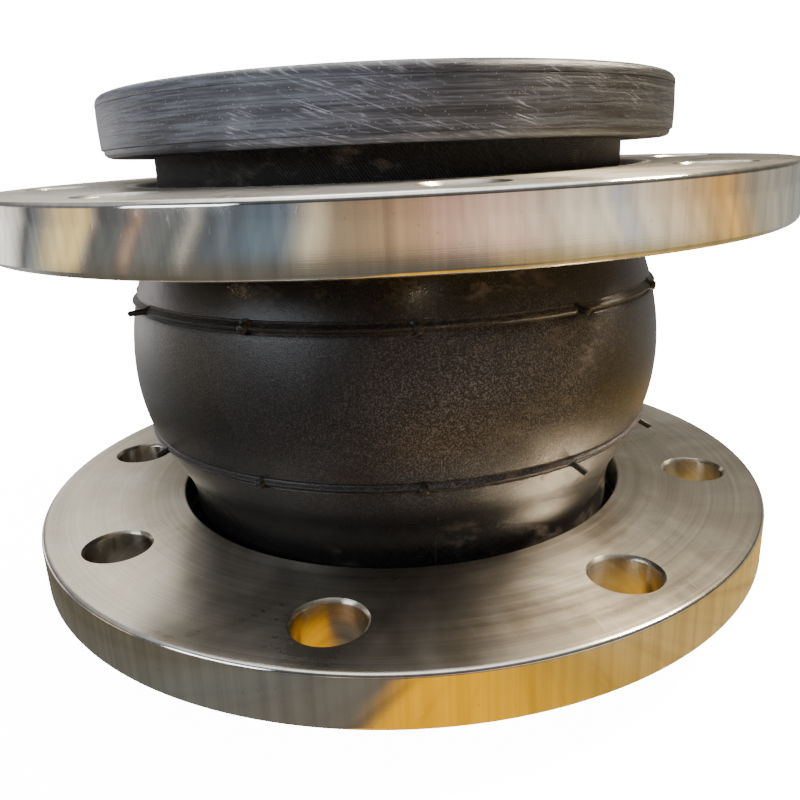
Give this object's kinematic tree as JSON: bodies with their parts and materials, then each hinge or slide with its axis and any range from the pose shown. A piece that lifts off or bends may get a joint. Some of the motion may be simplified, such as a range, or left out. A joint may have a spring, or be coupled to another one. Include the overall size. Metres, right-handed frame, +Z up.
{
  "type": "rubber expansion joint",
  "caption": "Single-arch rubber expansion joint with two loose bolted flanges, for a flexible pipe connection",
  "frame": {"origin": "middle of the lower sealing face, on the pipe axis", "axes": "+Z up along the pipe axis; the askew upper flange is highest between +X and +Y"},
  "size_m": [0.285, 0.285, 0.185],
  "materials": {
    "lower_flange": "turned stainless steel, satin, with fine scratches",
    "lower_seal_face": "moulded inner rubber, satin, with fine grooves",
    "lower_bead_jacket": "moulded outer rubber, scuffed satin",
    "lower_bead_wrap": "rubbered nylon cord fabric",
    "lower_bead_filler": "hard filler rubber, dull",
    "lower_bead_wire_1": "drawn steel wire, bronze washed",
    "lower_bead_wire_2": "drawn steel wire, bronze washed",
    "lower_bead_wire_3": "drawn steel wire, bronze washed",
    "upper_flange": "turned stainless steel, satin, with fine scratches",
    "upper_seal_face": "moulded inner rubber, satin, with fine grooves",
    "upper_bead_jacket": "moulded outer rubber, scuffed satin",
    "upper_bead_wrap": "rubbered nylon cord fabric",
    "upper_bead_filler": "hard filler rubber, dull",
    "upper_bead_wire_1": "drawn steel wire, bronze washed",
    "upper_bead_wire_2": "drawn steel wire, bronze washed",
    "upper_bead_wire_3": "drawn steel wire, bronze washed",
    "inner_tube": "smooth inner rubber, satin",
    "cord_ply_1": "nylon tyre cord, laid on the bias",
    "cord_ply_2": "nylon tyre cord, laid on the bias",
    "cord_ply_3": "nylon tyre cord, laid on the bias",
    "cord_ply_4": "nylon tyre cord, laid on the bias",
    "outer_cover": "moulded outer rubber, semi-gloss, fine speckle grain"
  },
  "bodies": {
    "lower_end": {"lower_seal_face": "lower_seal_face", "lower_bead_jacket": "lower_bead_jacket", "lower_bead_wrap": "lower_bead_wrap", "lower_bead_filler": "lower_bead_filler", "lower_bead_wire_1": "lower_bead_wire_1", "lower_bead_wire_2": "lower_bead_wire_2", "lower_bead_wire_3": "lower_bead_wire_3"},
    "inner_wall": {"inner_tube": "inner_tube", "cord_ply_1": "cord_ply_1", "cord_ply_2": "cord_ply_2"},
    "outer_wall": {"cord_ply_3": "cord_ply_3", "cord_ply_4": "cord_ply_4", "outer_cover": "outer_cover"},
    "upper_end": {"upper_seal_face": "upper_seal_face", "upper_bead_jacket": "upper_bead_jacket", "upper_bead_wrap": "upper_bead_wrap", "upper_bead_filler": "upper_bead_filler", "upper_bead_wire_1": "upper_bead_wire_1", "upper_bead_wire_2": "upper_bead_wire_2", "upper_bead_wire_3": "upper_bead_wire_3"},
    "lower_ring": {"lower_flange": "lower_flange"},
    "upper_ring": {"upper_flange": "upper_flange"}
  },
  "joints": [
    {"name": "lateral_offset", "type": "slide", "parent": "lower_end", "child": "inner_wall", "axis": [1, 0, 0], "range_m": [-0.014, 0.014], "stiffness_N_per_m": 60000, "deforming": ["inner_tube", "cord_ply_1", "cord_ply_2"]},
    {"name": "axial_travel", "type": "slide", "parent": "inner_wall", "child": "outer_wall", "axis": [0, 0, 1], "range_m": [-0.018, 0.012], "stiffness_N_per_m": 80000, "deforming": ["cord_ply_3", "cord_ply_4", "outer_cover"]},
    {"name": "angular_deflection", "type": "hinge", "parent": "outer_wall", "child": "upper_end", "pos_m": [0, 0, 0.108], "axis": [0, 1, 0], "range_deg": [-7.5, 7.5], "stiffness_Nm_per_rad": 290},
    {"name": "lower_flange_swivel", "type": "hinge", "parent": "lower_end", "child": "lower_ring", "pos_m": [0, 0, 0.0288], "axis": [0, 0, 1], "continuous": true},
    {"name": "upper_flange_swivel", "type": "hinge", "parent": "upper_end", "child": "upper_ring", "pos_m": [0, 0, 0.1487], "axis": [-0.0109, -0.0158, 0.9998], "continuous": true}
  ]
}
